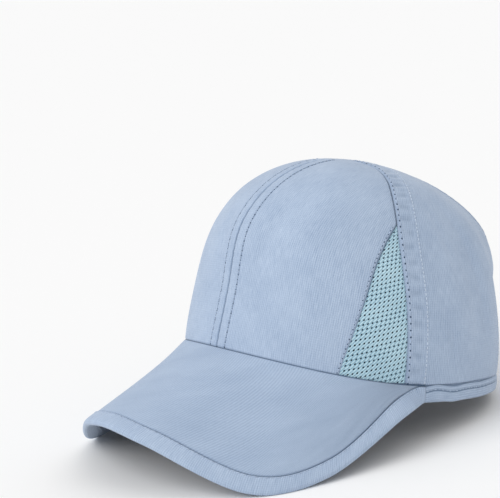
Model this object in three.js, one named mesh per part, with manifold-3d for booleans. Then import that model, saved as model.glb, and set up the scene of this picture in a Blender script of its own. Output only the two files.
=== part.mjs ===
// A ponytail baseball cap in light cloth, at rest on a table. Millimetres, +Z up.
// The front of the cap looks along -Y and the wearer's left is +X.
// Two front gores, a pierced vent beside each, and two back gores make the crown. A binding
// closes the rim, a stiff peak is sewn to its front, and the back gores part round an opening
// for a ponytail and close below it with two overlapping tabs.
// The cap is drawn upright, with its rim seam at height 0, and then laid on the table.
import * as THREE from 'three';
import { mergeVertices } from 'three/addons/utils/BufferGeometryUtils.js';
import Module from 'manifold-3d';

const wasm = await Module();
wasm.setup();

// Crown: its reaches are measured from the middle of the head to the rim seam
const crownFront = 96.2;
const crownBack = 96.4;
const crownHalfWidth = 88.2;
const crownHeight = 119.9;
const apexForward = 16.2;
const frontRoundness = 2.2;
const backRoundness = 1.8;
const rimRise = 12.4;
const rimRiseTurn = 85;
const clothThickness = 1.8;
const deepestFold = 1.6;
const seamGap = 0.3;

// Vents: pierced triangles between the front gores and the side seams
const ventFootTurn = 51;
const ventTop = 0.515;
const ventThickness = 1.2;
const ventSetBack = 0.4;
const ventHoleRadius = 0.9;
const ventHolePitch = 5.5;
const ventHoleMargin = 3;

// Ponytail opening, and the tabs of the closure under it
const openingFoot = 41;
const openingTop = 112;
const openingHalfWidth = 28.6;
const tabReach = 31;
const tabEndHeight = 28.6;
const tabCornerRadius = 6;
const lapClearance = 0.6;
const lapMargin = 12;
const lapBlendWidth = 26;
const lapBlendHeight = 22;

// Fastening patch between the tabs
const patchThickness = 1.4;
const patchReach = 28;
const patchBack = 20;
const patchFoot = 3;
const patchTop = 18;

// Label at the end of the over tab
const labelWidth = 11.5;
const labelFoot = 1.5;
const labelTop = 25;
const labelThickness = 1;
const labelSetBack = 0.4;

// Rim binding
const bandHeight = 9.2;
const bandThickness = 2.2;
const bandBulge = 0.5;

// Sweatband
const sweatbandHeight = 29;
const sweatbandThickness = 1.4;
const sweatbandTurn = 118;
const sweatbandLift = 1;
const sweatbandClearance = 0.6;

// Peak: its run is measured along Y from the ends of its root to its front edge
const peakRootTurn = 82;
const peakRun = 150.5;
const peakHalfWidth = 96.8;
const peakDrop = 50.3;
const peakThickness = 2;
const peakUndersideThickness = 1;
const peakLayerGap = 0.45;
const peakBindingWidth = 10;
const bindingThinning = 0.7;

// How far the cloth gives where the cap rests on the table
const contactFlattening = 0.6;

// The crown's reaches at each rise, as shares of those of an ellipsoid
const crownProfile = [
  { rise: 0, front: 1, back: 1, side: 1 },
  { rise: 0.25, front: 0.99, back: 1.02, side: 1.08 },
  { rise: 0.5, front: 1.14, back: 1.23, side: 1.13 },
  { rise: 0.75, front: 1.19, back: 1.18, side: 1.31 },
  { rise: 1, front: 1.16, back: 1.09, side: 1.49 },
];

// Where a side seam runs: turn is in degrees from the centre front
const sideSeam = [
  { rise: 0, turn: 74.5 },
  { rise: 0.28, turn: 72.9 },
  { rise: 0.5, turn: 75.8 },
  { rise: 0.65, turn: 79.2 },
  { rise: 0.75, turn: 84.5 },
  { rise: 0.87, turn: 93 },
  { rise: 1, turn: 100 },
];

// A vent's front edge: up as a share of the vent's rise, across as a share of its foot
const ventEdge = [
  { up: 0, across: 0 },
  { up: 0.21, across: 0.1 },
  { up: 0.46, across: 0.26 },
  { up: 0.67, across: 0.47 },
  { up: 0.85, across: 0.73 },
  { up: 1, across: 1 },
];

// Half of the opening: up as a share of its height, half as a share of its half width
const openingOutline = [
  { up: 0, half: 0 },
  { up: 0.106, half: 0.385 },
  { up: 0.324, half: 0.783 },
  { up: 0.493, half: 0.951 },
  { up: 0.62, half: 0.993 },
  { up: 0.76, half: 1 },
  { up: 0.882, half: 0.829 },
  { up: 0.965, half: 0.46 },
  { up: 1, half: 0 },
];

// The upper edge of a tab: reach as a share of the tab's reach, up as a share of the height
// from the tab's end to the foot of the opening
const tabEdge = [
  { reach: 1, up: 0 },
  { reach: 0.48, up: 0.226 },
  { reach: 0.27, up: 0.556 },
  { reach: 0, up: 1 },
];

// The peak's outer edge, from the centre front towards an end of its root: side, out and
// down are shares of its half width, its run and its drop
const peakEdge = [
  { side: 0, out: 1, down: 0.533 },
  { side: 0.316, out: 0.961, down: 0.628 },
  { side: 0.823, out: 0.741, down: 1 },
  { side: 0.996, out: 0.477, down: 0.841 },
  { side: 1, out: 0.143, down: 0.27 },
];

// The peak binding's section: reach is a share of its width, taken is the share of its
// thickness that the rounding takes off each face
const bindingSection = [
  { reach: 0, taken: 0 },
  { reach: 0.66, taken: 0 },
  { reach: 0.92, taken: 0.1 },
  { reach: 1, taken: 0.32 },
];

// The rim binding's outer face: down as a share of its height, out as a share of its bulge,
// taken as a share of its thickness
const bandSection = [
  { down: 0, out: 0, taken: 0 },
  { down: 0.3, out: 1, taken: 0 },
  { down: 0.8, out: 1, taken: 0 },
  { down: 1, out: 0, taken: 0.2 },
];

// The main dents and folds of the crown. Turn, half turn and lean are in degrees, with the
// lean as the turn that a fold gains over the whole rise. Rise and half rise are shares of
// the crown's rise. Depth is a share of the deepest fold, and negative where the cloth
// stands out
const crownFolds = [
  { name: 'front dent', turn: 22, halfTurn: 11, lean: 22, rise: 0.42, halfRise: 0.24, depth: 1 },
  { name: 'front dent, right', turn: -24, halfTurn: 12, lean: -12, rise: 0.5, halfRise: 0.25, depth: 0.6875 },
  { name: 'side hollow', turn: 106, halfTurn: 6, lean: -8, rise: 0.3, halfRise: 0.24, depth: 0.9375 },
  { name: 'side ridge', turn: 119, halfTurn: 7, lean: -10, rise: 0.33, halfRise: 0.26, depth: -0.75 },
  { name: 'back hollow', turn: 134, halfTurn: 7, lean: -8, rise: 0.34, halfRise: 0.24, depth: 0.875 },
  { name: 'side hollow, right', turn: -110, halfTurn: 9, lean: 10, rise: 0.34, halfRise: 0.24, depth: 0.8125 },
  { name: 'closure pull', turn: -156, halfTurn: 5, lean: 60, rise: 0.17, halfRise: 0.1, depth: 0.75 },
];

// Facets
const frontColumns = 10;
const backColumns = 16;
const ventColumns = 4;
const ventRows = 7;
const upperRows = 9;
const bandColumns = 22;
const sweatbandColumns = 26;
const peakColumns = 44;
const peakRows = 5;
const outlinePoints = 22;
const cornerPoints = 4;
const holeSides = 4;

// How far a cutting shape reaches past the crown
const cutterMargin = 30;
// The rise at which the gores end beside the apex
const gorePoint = 0.998;
// How many of the peak's columns its stiff part and its underside leave free at each end
const peakInset = 1;
const undersideInset = 3;

const degree = Math.PI / 180;
const quarterTurn = 90;
const halfTurn = 180;
const lapDepth = clothThickness + lapClearance + patchThickness + lapClearance;
const peakFullThickness = peakThickness + peakLayerGap + peakUndersideThickness;

// A smooth curve through one column of a table, at a value of its first column
function along(table, column, at) {
  const key = Object.keys(table[0])[0];
  const last = table.length - 1;
  let row = 0;
  while (row < last - 1 && at > table[row + 1][key]) row += 1;
  const slope = (from, to) => (table[to][column] - table[from][column]) / (table[to][key] - table[from][key]);
  const width = table[row + 1][key] - table[row][key];
  const share = (at - table[row][key]) / width;
  const startPull = width * slope(Math.max(row - 1, 0), row + 1);
  const endPull = width * slope(row, Math.min(row + 2, last));
  const step = table[row + 1][column] - table[row][column];
  const bend = share * (1 - share);
  return table[row][column]
    + step * share * share * (3 - 2 * share)
    + bend * (1 - share) * startPull
    - bend * share * endPull;
}

// The share of the crown's quarter arc that is reached at a height
function arcShare(height) {
  return Math.asin(Math.min(height / crownHeight, 1)) / (quarterTurn * degree);
}

// The height of the rim seam, which lifts over the peak
function rimHeight(turn) {
  const share = Math.min(Math.abs(turn) / rimRiseTurn, 1);
  return rimRise * Math.cos(share * quarterTurn * degree) ** 1.5;
}

// The rise at a height, where rise is 0 at the rim seam and 1 at the apex
function riseAt(turn, height) {
  const foot = arcShare(rimHeight(turn));
  return (arcShare(height) - foot) / (1 - foot);
}

// The crown's plan outline at a share of its quarter arc
function outlineAt(share) {
  const width = Math.cos(share * quarterTurn * degree);
  return {
    front: -apexForward - (crownFront - apexForward) * width * along(crownProfile, 'front', share),
    back: -apexForward + (crownBack + apexForward) * width * along(crownProfile, 'back', share),
    half: crownHalfWidth * width * along(crownProfile, 'side', share),
    middle: -apexForward * (1 - width),
  };
}

// A point of the smooth crown: turn is 0 at the centre front, positive to the wearer's left
function smoothCrown(turn, rise) {
  const foot = arcShare(rimHeight(turn));
  const share = foot + (1 - foot) * rise;
  const outline = outlineAt(share);
  const ahead = Math.cos(turn * degree);
  const aside = Math.sin(turn * degree);
  const power = 2 / (ahead >= 0 ? frontRoundness : backRoundness);
  const end = ahead >= 0 ? outline.front : outline.back;
  return new THREE.Vector3(
    Math.sign(aside) * outline.half * Math.abs(aside) ** power,
    outline.middle + (end - outline.middle) * Math.abs(ahead) ** power,
    crownHeight * Math.sin(share * quarterTurn * degree),
  );
}

// The crown's outward direction, from small steps along its surface
function crownNormal(turn, rise) {
  const turnStep = 0.5;
  const riseStep = 0.002;
  const round = smoothCrown(turn + turnStep, rise).sub(smoothCrown(turn - turnStep, rise));
  const up = smoothCrown(turn, rise).sub(smoothCrown(turn, rise - riseStep));
  return round.cross(up).normalize();
}

// How deep the folds lie at a place on the crown
function foldDepth(turn, rise) {
  let depth = 0;
  for (const fold of crownFolds) {
    const middle = fold.turn + fold.lean * (rise - fold.rise);
    const away = THREE.MathUtils.euclideanModulo(turn - middle + halfTurn, 2 * halfTurn) - halfTurn;
    const aside = away / fold.halfTurn;
    const up = (rise - fold.rise) / fold.halfRise;
    depth += deepestFold * fold.depth * Math.exp(-aside * aside - up * up);
  }
  return depth;
}

// A point at a depth inside the folded crown
function crownAt(turn, rise, depth) {
  const inward = crownNormal(turn, rise).multiplyScalar(-depth - foldDepth(turn, rise));
  return smoothCrown(turn, rise).add(inward);
}

// A turn moved sideways by a distance on the crown
function besides(turn, rise, distance) {
  const perDegree = smoothCrown(turn + 0.5, rise).distanceTo(smoothCrown(turn - 0.5, rise));
  return turn + distance / perDegree;
}

// A point of the crown's back at a place seen from behind
function crownBackAt(x, height, depth) {
  const half = outlineAt(arcShare(height)).half;
  const aside = Math.asin((Math.abs(x) / half) ** (backRoundness / 2)) / degree;
  return crownAt(halfTurn - Math.sign(x) * aside, arcShare(height), depth);
}

// Turns a geometry that is inside out
function facingOut(geometry) {
  const position = geometry.getAttribute('position');
  const index = geometry.getIndex();
  const [a, b, c] = [new THREE.Vector3(), new THREE.Vector3(), new THREE.Vector3()];
  let volume = 0;
  for (let corner = 0; corner < index.count; corner += 3) {
    a.fromBufferAttribute(position, index.getX(corner));
    b.fromBufferAttribute(position, index.getX(corner + 1));
    c.fromBufferAttribute(position, index.getX(corner + 2));
    volume += a.dot(b.cross(c));
  }
  if (volume < 0) index.array.reverse();
  return geometry;
}

// A box geometry reduced to shared vertices
function bare(geometry) {
  geometry.deleteAttribute('normal');
  geometry.deleteAttribute('uv');
  return mergeVertices(geometry);
}

// A wall of cloth: a slab of facets whose corners are placed at (across, up, side), each
// from 0 to 1, where side 0 is its outer face and side 1 its inner face
function wall(columns, rows, place) {
  const geometry = bare(new THREE.BoxGeometry(1, 1, 1, columns, rows, 1));
  const position = geometry.getAttribute('position');
  for (let corner = 0; corner < position.count; corner += 1) {
    const across = position.getX(corner) + 0.5;
    const up = position.getY(corner) + 0.5;
    const side = position.getZ(corner) + 0.5;
    const point = place(across, up, side);
    position.setXYZ(corner, point.x, point.y, point.z);
  }
  return facingOut(geometry);
}

function solidOf(geometry) {
  const mesh = new wasm.Mesh({
    numProp: 3,
    vertProperties: new Float32Array(geometry.getAttribute('position').array),
    triVerts: new Uint32Array(geometry.getIndex().array),
  });
  return new wasm.Manifold(mesh);
}

function geometryOf(solid) {
  const mesh = solid.getMesh();
  const geometry = new THREE.BufferGeometry();
  geometry.setAttribute('position', new THREE.BufferAttribute(mesh.vertProperties, 3));
  geometry.setIndex(new THREE.BufferAttribute(mesh.triVerts, 1));
  return geometry;
}

function cut(geometry, cutters) {
  let solid = solidOf(geometry);
  for (const cutter of cutters) solid = solid.subtract(solidOf(cutter));
  return geometryOf(solid);
}

// The rises of the crown's facet rows: even up to the tip of the vents, closer above it
const footRise = arcShare(seamGap);
const crownRows = [];
for (let row = 0; row < ventRows; row += 1) {
  crownRows.push(THREE.MathUtils.lerp(footRise, ventTop, row / ventRows));
}
for (let row = 0; row <= upperRows; row += 1) {
  const share = Math.sin((row / upperRows) * quarterTurn * degree);
  crownRows.push(THREE.MathUtils.lerp(ventTop, gorePoint, share));
}
const rowCount = crownRows.length - 1;

function sideSeamTurn(rise) {
  return along(sideSeam, 'turn', rise);
}

// The turn of a vent's front edge
function ventEdgeTurn(rise) {
  const across = along(ventEdge, 'across', Math.min(rise / ventTop, 1));
  return THREE.MathUtils.lerp(ventFootTurn, sideSeamTurn(ventTop), across);
}

// A front gore, from the centre seam to the vent and, above it, to the side seam
function frontPanel(hand) {
  return wall(frontColumns, rowCount, (across, up, side) => {
    const rise = crownRows[Math.round(up * rowCount)];
    const edge = rise < ventTop ? ventEdgeTurn(rise) : sideSeamTurn(rise);
    const from = besides(0, rise, seamGap / 2);
    const to = besides(edge, rise, -seamGap / 2);
    return crownAt(hand * THREE.MathUtils.lerp(from, to, across), rise, side * clothThickness);
  });
}

// The holes of a vent, as cutters that stand across its wall in a staggered pattern
function ventHoles(hand) {
  const cutters = [];
  const rowStep = ventHolePitch * Math.sin(60 * degree);
  const ventHeight = smoothCrown(ventFootTurn, 0).distanceTo(smoothCrown(sideSeamTurn(ventTop), ventTop));
  for (let row = 0; ventHoleMargin + row * rowStep < ventHeight; row += 1) {
    const rise = (ventTop * (ventHoleMargin + row * rowStep)) / ventHeight;
    const seam = sideSeamTurn(rise);
    const width = smoothCrown(seam, rise).distanceTo(smoothCrown(ventEdgeTurn(rise), rise));
    const first = ventHoleMargin + (row % 2) * ventHolePitch / 2;
    for (let across = first; across < width - ventHoleMargin; across += ventHolePitch) {
      const turn = hand * besides(seam, rise, -across);
      const cutter = bare(new THREE.CylinderGeometry(
        ventHoleRadius,
        ventHoleRadius,
        4 * ventThickness,
        holeSides,
      ));
      const outward = crownNormal(turn, rise);
      cutter.applyQuaternion(new THREE.Quaternion().setFromUnitVectors(new THREE.Vector3(0, 1, 0), outward));
      const middle = crownAt(turn, rise, ventSetBack + ventThickness / 2);
      cutter.translate(middle.x, middle.y, middle.z);
      cutters.push(cutter);
    }
  }
  return cutters;
}

// A vent, set a little back from the gores that it is sewn between
function meshInsert(hand) {
  const insert = wall(ventColumns, ventRows, (across, up, side) => {
    const row = Math.round(up * ventRows);
    const rise = row < ventRows ? crownRows[row] : THREE.MathUtils.lerp(crownRows[row - 1], ventTop, 0.9);
    const from = besides(ventEdgeTurn(rise), rise, seamGap / 2);
    const to = besides(sideSeamTurn(rise), rise, -seamGap / 2);
    const depth = ventSetBack + side * ventThickness;
    return crownAt(hand * THREE.MathUtils.lerp(from, to, across), rise, depth);
  });
  return cut(insert, ventHoles(hand));
}

// How far the under tab dips below the over tab at a place, from 0 to 1
function lapShare(point) {
  const fullAside = tabReach + lapMargin;
  const aside = THREE.MathUtils.smoothstep(point.x, fullAside, fullAside + lapBlendWidth);
  const above = THREE.MathUtils.smoothstep(point.z, openingFoot, openingFoot + lapBlendHeight);
  return (1 - aside) * (1 - above);
}

// What lies past the edge of the over tab, the opening and the centre back seam, as seen
// from behind, to be cut off the back gore and band on the wearer's right
function pastClosure(hand) {
  const low = -bandHeight - cutterMargin;
  const high = crownHeight + cutterMargin;
  const wide = crownHalfWidth + cutterMargin;
  const outline = new THREE.Shape();
  outline.moveTo(tabReach - tabCornerRadius, low);
  for (let step = 0; step <= cornerPoints; step += 1) {
    const angle = (step / cornerPoints) * quarterTurn * degree;
    outline.lineTo(
      tabReach - tabCornerRadius * (1 - Math.sin(angle)),
      -bandHeight + tabCornerRadius * (1 - Math.cos(angle)),
    );
  }
  for (const row of tabEdge) {
    outline.lineTo(row.reach * tabReach, THREE.MathUtils.lerp(tabEndHeight, openingFoot, row.up));
  }
  const edge = new THREE.SplineCurve(openingOutline.map((row) => new THREE.Vector2(
    -row.half * openingHalfWidth,
    THREE.MathUtils.lerp(openingFoot, openingTop, row.up),
  )));
  for (const point of edge.getPoints(outlinePoints).slice(1, -1)) outline.lineTo(point.x, point.y);
  outline.lineTo(-seamGap / 2, openingTop);
  outline.lineTo(-seamGap / 2, high);
  outline.lineTo(wide, high);
  outline.lineTo(wide, low);
  const depth = apexForward + crownBack + 2 * cutterMargin;
  const geometry = bare(new THREE.ExtrudeGeometry(outline, { depth, bevelEnabled: false }));
  geometry.rotateX(quarterTurn * degree);
  geometry.translate(0, crownBack + cutterMargin, 0);
  geometry.scale(-hand, 1, 1);
  return facingOut(geometry);
}

// The turn past the centre back that the tabs need
function tabTurn() {
  const reach = (tabReach + lapDepth) / crownHalfWidth;
  return Math.asin(reach ** (backRoundness / 2)) / degree;
}

// A back gore, from the side seam to the opening and on into its tab. The tab on the
// wearer's left lies under the other
function backPanel(hand) {
  const panel = wall(backColumns, rowCount, (across, up, side) => {
    const rise = crownRows[Math.round(up * rowCount)];
    const from = besides(sideSeamTurn(rise), rise, seamGap / 2);
    const turn = hand * THREE.MathUtils.lerp(from, halfTurn + tabTurn(), across);
    const lap = hand > 0 ? lapDepth * lapShare(smoothCrown(turn, rise)) : 0;
    return crownAt(turn, rise, side * clothThickness + lap);
  });
  return cut(panel, [pastClosure(hand)]);
}

// The binding of the rim, from the end of the peak round the back to the end of a tab
function rimBand(hand) {
  const rows = bandSection.length - 1;
  const band = wall(bandColumns, rows, (across, up, side) => {
    const row = bandSection[Math.round(up * rows)];
    const from = besides(peakRootTurn, 0, seamGap);
    const turn = hand * THREE.MathUtils.lerp(from, halfTurn + tabTurn(), across);
    const seam = smoothCrown(turn, 0);
    const lap = hand > 0 ? lapDepth * lapShare(seam) : 0;
    const outer = row.out * bandBulge - row.taken * bandThickness;
    const out = side === 0 ? outer : -bandThickness;
    const outward = crownNormal(turn, 0).setZ(0).normalize();
    return seam.addScaledVector(outward, out - lap).setZ(-row.down * bandHeight);
  });
  return cut(band, [pastClosure(hand)]);
}

// The fastening patch, between the two tabs
function hookPatch() {
  return wall(4, 1, (across, up, side) => {
    const x = THREE.MathUtils.lerp(-patchBack, patchReach, across);
    const height = THREE.MathUtils.lerp(patchFoot, patchTop, up);
    return crownBackAt(x, height, clothThickness + lapClearance + side * patchThickness);
  });
}

// The label, sewn to the end of the over tab
function labelTab() {
  return wall(2, 2, (across, up, side) => {
    const x = tabReach + seamGap + labelSetBack + across * labelWidth;
    const height = THREE.MathUtils.lerp(labelFoot, labelTop, up);
    return crownBackAt(x, height, labelSetBack + side * labelThickness);
  });
}

// The sweatband, inside the front and the sides of the crown
function sweatband() {
  return wall(sweatbandColumns, 2, (across, up, side) => {
    const turn = THREE.MathUtils.lerp(-sweatbandTurn, sweatbandTurn, across);
    const height = rimHeight(turn) + sweatbandLift + up * sweatbandHeight;
    const depth = clothThickness + sweatbandClearance + side * sweatbandThickness;
    return crownAt(turn, riseAt(turn, height), depth);
  });
}

// The peak's outer edge, with its ends on the foot of the rim binding
const rootEnd = smoothCrown(peakRootTurn, 0);
function peakEdgePoints(hand) {
  const points = peakEdge.map((row) => new THREE.Vector3(
    hand * row.side * peakHalfWidth,
    rootEnd.y - row.out * peakRun,
    -row.down * peakDrop,
  ));
  points.push(new THREE.Vector3(hand * (rootEnd.x + bandBulge), rootEnd.y, -bandHeight));
  return points;
}
const peakOuterEdge = new THREE.CatmullRomCurve3(
  [...peakEdgePoints(-1).reverse(), ...peakEdgePoints(1).slice(1)],
  false,
  'catmullrom',
);

// The straight line of the peak's upper face at a share of its half root, from -1 to 1
function peakRuling(aside) {
  const root = smoothCrown(aside * peakRootTurn, 0);
  const edge = peakOuterEdge.getPoint((aside + 1) / 2);
  return { root, edge, length: root.distanceTo(edge) };
}

// A point at a distance from the root and a depth below the peak's upper face
function peakAt(aside, distance, depth) {
  const step = 0.005;
  const at = (share) => {
    const { root, edge, length } = peakRuling(share);
    return root.lerp(edge, distance / length);
  };
  const ruling = peakRuling(aside);
  const outward = ruling.edge.clone().sub(ruling.root);
  const sideways = at(Math.min(aside + step, 1)).sub(at(Math.max(aside - step, -1)));
  const normal = outward.cross(sideways).normalize();
  return ruling.root.lerp(ruling.edge, distance / ruling.length).addScaledVector(normal, -depth);
}

// Where the peak's binding starts, as a distance from the root
function bindingStart(aside) {
  return Math.max(peakRuling(aside).length - peakBindingWidth, seamGap);
}

// The place along the root of one of the peak's columns, from -1 to 1
function peakColumn(column) {
  return THREE.MathUtils.lerp(-1, 1, column / peakColumns);
}

// The binding thins to that of the rim towards the ends of the peak
function bindingThickness(aside) {
  const share = THREE.MathUtils.smoothstep(Math.abs(aside), bindingThinning, 1);
  return THREE.MathUtils.lerp(peakFullThickness, bandThickness, share);
}

function peak() {
  const columns = peakColumns - 2 * peakInset;
  return wall(columns, peakRows, (across, up, side) => {
    const aside = peakColumn(peakInset + across * columns);
    const distance = THREE.MathUtils.lerp(seamGap, bindingStart(aside) - seamGap, up);
    return peakAt(aside, distance, side * peakThickness);
  });
}

function peakUnderside() {
  const columns = peakColumns - 2 * undersideInset;
  return wall(columns, peakRows, (across, up, side) => {
    const aside = peakColumn(undersideInset + across * columns);
    const distance = THREE.MathUtils.lerp(seamGap, bindingStart(aside) - seamGap, up);
    return peakAt(aside, distance, peakThickness + peakLayerGap + side * peakUndersideThickness);
  });
}

function peakBinding() {
  const rows = bindingSection.length - 1;
  return wall(peakColumns, rows, (across, up, side) => {
    const aside = peakColumn(across * peakColumns);
    const row = bindingSection[Math.round(up * rows)];
    const ruling = peakRuling(aside);
    const distance = THREE.MathUtils.lerp(bindingStart(aside), ruling.length, row.reach);
    const thickness = bindingThickness(aside);
    const taken = side === 0 ? row.taken : 1 - row.taken;
    return peakAt(aside, distance, taken * thickness);
  });
}

// The cap tips back until the lowest corners of its peak are level with the back of its rim
function restingTilt(binding) {
  const backTaken = bandSection[bandSection.length - 1].taken * bandThickness;
  const backFoot = new THREE.Vector3(0, crownBack - backTaken, -bandHeight);
  const position = binding.getAttribute('position');
  const low = new THREE.Vector3();
  let tilt = -Math.PI;
  for (let corner = 0; corner < position.count; corner += 1) {
    low.fromBufferAttribute(position, corner);
    tilt = Math.max(tilt, Math.atan2(backFoot.z - low.z, backFoot.y - low.y));
  }
  return tilt;
}

const blueCloth = { color: 0x9fb6d0, roughness: 0.8, metalness: 0 };
const peakCloth = { color: 0xa2b8d2, roughness: 0.75, metalness: 0 };
const aquaMesh = { color: 0xa6c6d9, roughness: 0.7, metalness: 0 };
const darkCloth = { color: 0x2b3344, roughness: 0.85, metalness: 0 };
const whiteCloth = { color: 0xe8e7ea, roughness: 0.7, metalness: 0 };
const greyNylon = { color: 0x8d98a8, roughness: 0.9, metalness: 0 };

const binding = peakBinding();
const pieces = [
  { name: 'front_panel_left', geometry: frontPanel(1), finish: blueCloth },
  { name: 'front_panel_right', geometry: frontPanel(-1), finish: blueCloth },
  { name: 'mesh_insert_left', geometry: meshInsert(1), finish: aquaMesh },
  { name: 'mesh_insert_right', geometry: meshInsert(-1), finish: aquaMesh },
  { name: 'back_panel_left', geometry: backPanel(1), finish: blueCloth },
  { name: 'back_panel_right', geometry: backPanel(-1), finish: blueCloth },
  { name: 'rim_band_left', geometry: rimBand(1), finish: blueCloth },
  { name: 'rim_band_right', geometry: rimBand(-1), finish: blueCloth },
  { name: 'sweatband', geometry: sweatband(), finish: darkCloth },
  { name: 'hook_patch', geometry: hookPatch(), finish: greyNylon },
  { name: 'label_tab', geometry: labelTab(), finish: whiteCloth },
  { name: 'peak', geometry: peak(), finish: peakCloth },
  { name: 'peak_underside', geometry: peakUnderside(), finish: darkCloth },
  { name: 'peak_binding', geometry: binding, finish: blueCloth },
];

// Tips the cap, sets it down on the table and centres it there
const tip = new THREE.Matrix4().makeRotationX(-restingTilt(binding));
const bounds = new THREE.Box3();
for (const piece of pieces) {
  piece.geometry.applyMatrix4(tip);
  piece.geometry.computeBoundingBox();
  bounds.union(piece.geometry.boundingBox);
}
const centre = bounds.getCenter(new THREE.Vector3());
for (const piece of pieces) {
  piece.geometry.translate(-centre.x, -centre.y, -bounds.min.z - contactFlattening);
  const position = piece.geometry.getAttribute('position');
  for (let corner = 0; corner < position.count; corner += 1) {
    position.setZ(corner, Math.max(position.getZ(corner), 0));
  }
}

const cap = new THREE.Group();
for (const piece of pieces) {
  const mesh = new THREE.Mesh(piece.geometry, new THREE.MeshStandardMaterial(piece.finish));
  mesh.name = piece.name;
  cap.add(mesh);
}

export default cap;
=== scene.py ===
"""A ponytail baseball cap in light blue cloth, at rest on a table.

The cap is worked out upright in millimetres, with its rim seam at height 0, the peak along -Y
and the wearer's left along +X, and is then laid on the table as the frame has it.
"""

import bpy
import numpy as np
from mathutils import Matrix, Vector
from mathutils.geometry import delaunay_2d_cdt


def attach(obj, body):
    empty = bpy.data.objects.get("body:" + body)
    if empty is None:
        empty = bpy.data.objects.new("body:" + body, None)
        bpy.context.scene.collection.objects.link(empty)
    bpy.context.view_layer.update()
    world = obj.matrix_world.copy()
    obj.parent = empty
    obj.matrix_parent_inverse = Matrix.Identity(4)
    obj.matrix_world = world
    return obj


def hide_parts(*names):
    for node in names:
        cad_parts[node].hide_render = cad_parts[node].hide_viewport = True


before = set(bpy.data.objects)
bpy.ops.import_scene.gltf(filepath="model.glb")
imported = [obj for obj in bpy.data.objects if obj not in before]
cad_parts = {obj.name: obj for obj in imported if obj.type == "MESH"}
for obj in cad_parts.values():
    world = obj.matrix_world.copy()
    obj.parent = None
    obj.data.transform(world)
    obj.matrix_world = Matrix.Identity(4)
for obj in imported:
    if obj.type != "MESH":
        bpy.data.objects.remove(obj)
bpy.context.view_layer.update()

# Front gores
# Two gores of thin ribbed polyester are seamed down the middle of the forehead. The seam
# allowances are pressed flat under the cloth and held by a topstitch on each side.

CROWN_FRONT = 96.2
CROWN_BACK = 96.4
CROWN_HALF_WIDTH = 88.2
CROWN_HEIGHT = 119.9
APEX_FORWARD = 16.2
FRONT_ROUNDNESS = 2.2
BACK_ROUNDNESS = 1.8
RIM_RISE = 12.4
RIM_RISE_TURN = 85
CLOTH_THICKNESS = 1.5
VENT_FOOT_TURN = 51
VENT_TOP = 0.515
GORE_POINT = 0.998
CENTRE_WELT_LEFT = 7.6
CENTRE_WELT_RIGHT = 5.8
VENT_STITCH = 1.8
STITCH_PITCH = 2.7
STITCH_LENGTH = 2.0
THREAD_RADIUS = 0.24
NEEDLE_HOLE = 0.36
CENTRE_HOLE = 0.46
RIB_PITCH = 1.25
STITCH_LIFT = 0.15
# How far the front gores run down past the rim seam, as a rise
FRONT_TUCK = 0.006
FRONT_ROWS = 180
FRONT_COLUMNS = 112
# The rises between which the folds, and the relief of the seams, die out below the apex
FOLDS_END = (0.86, 0.98)
RELIEF_END = (0.9, 0.99)

REST_TILT = np.radians(11.508058)
REST_BACK = 35.645309
REST_LIFT = 27.559620

CROWN_PROFILE = {
    "rise": [0, 0.25, 0.5, 0.75, 1],
    "front": [1, 0.99, 1.14, 1.19, 1.16],
    "back": [1, 1.02, 1.23, 1.18, 1.09],
    "side": [1, 1.08, 1.13, 1.31, 1.49],
}
SIDE_SEAM = {
    "rise": [0, 0.28, 0.5, 0.65, 0.75, 0.87, 1],
    "turn": [74.5, 72.9, 75.8, 79.2, 84.5, 93, 100],
}
VENT_EDGE = {
    "up": [0, 0.21, 0.46, 0.67, 0.85, 1],
    "across": [0, 0.1, 0.26, 0.47, 0.73, 1],
}
# Turn, half_turn and lean are in degrees, rise and half_rise are shares, depth is in mm
CROWN_FOLDS = {
    "turn": [22, -24, 106, 119, 134, -110, -156],
    "half_turn": [11, 12, 6, 7, 7, 9, 5],
    "lean": [22, -12, -8, -10, -8, 10, 60],
    "rise": [0.42, 0.5, 0.3, 0.33, 0.34, 0.34, 0.17],
    "half_rise": [0.24, 0.25, 0.24, 0.26, 0.24, 0.24, 0.1],
    "depth": [1.6, 1.1, 1.5, -1.2, 1.4, 1.3, 1.2],
}
# Smaller creases of the worn cloth, in the same terms
CREASES = {
    "turn": [18, 13, 31, -9, -35, 91, 97, 111, 124, 146, -95, -122, -140, 60, -60],
    "half_turn": [6, 3.2, 2.6, 3.5, 3, 1.3, 2.2, 2.6, 3, 3, 2.4, 3, 2.6, 9, 9],
    "lean": [30, 30, 20, -16, -14, -4, -10, -14, -14, -12, 12, 8, 16, 30, -30],
    "rise": [0.46, 0.3, 0.58, 0.4, 0.3, 0.13, 0.42, 0.34, 0.3, 0.42, 0.22, 0.45, 0.24, 0.68, 0.68],
    "half_rise": [0.16, 0.12, 0.12, 0.2, 0.18, 0.07, 0.2, 0.22, 0.24, 0.2, 0.14, 0.2, 0.12, 0.05, 0.05],
    "depth": [1.1, 0.5, 0.35, 0.5, 0.4, 0.7, 0.45, 0.8, -0.6, 0.4, 0.4, 0.4, 0.5, 0.4, 0.4],
}


def along(table, column, at):
    """A smooth curve through one column of a table, at values of its first column."""
    keys = np.array(next(iter(table.values())), float)
    values = np.array(table[column], float)
    slopes = np.empty_like(values)
    slopes[1:-1] = (values[2:] - values[:-2]) / (keys[2:] - keys[:-2])
    slopes[0] = (values[1] - values[0]) / (keys[1] - keys[0])
    slopes[-1] = (values[-1] - values[-2]) / (keys[-1] - keys[-2])
    row = np.clip(np.searchsorted(keys, at) - 1, 0, len(keys) - 2)
    width = keys[row + 1] - keys[row]
    share = (at - keys[row]) / width
    bend = share * (1 - share) * width
    step = values[row + 1] - values[row]
    smooth = values[row] + step * share * share * (3 - 2 * share)
    return smooth + bend * ((1 - share) * slopes[row] - share * slopes[row + 1])


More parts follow.
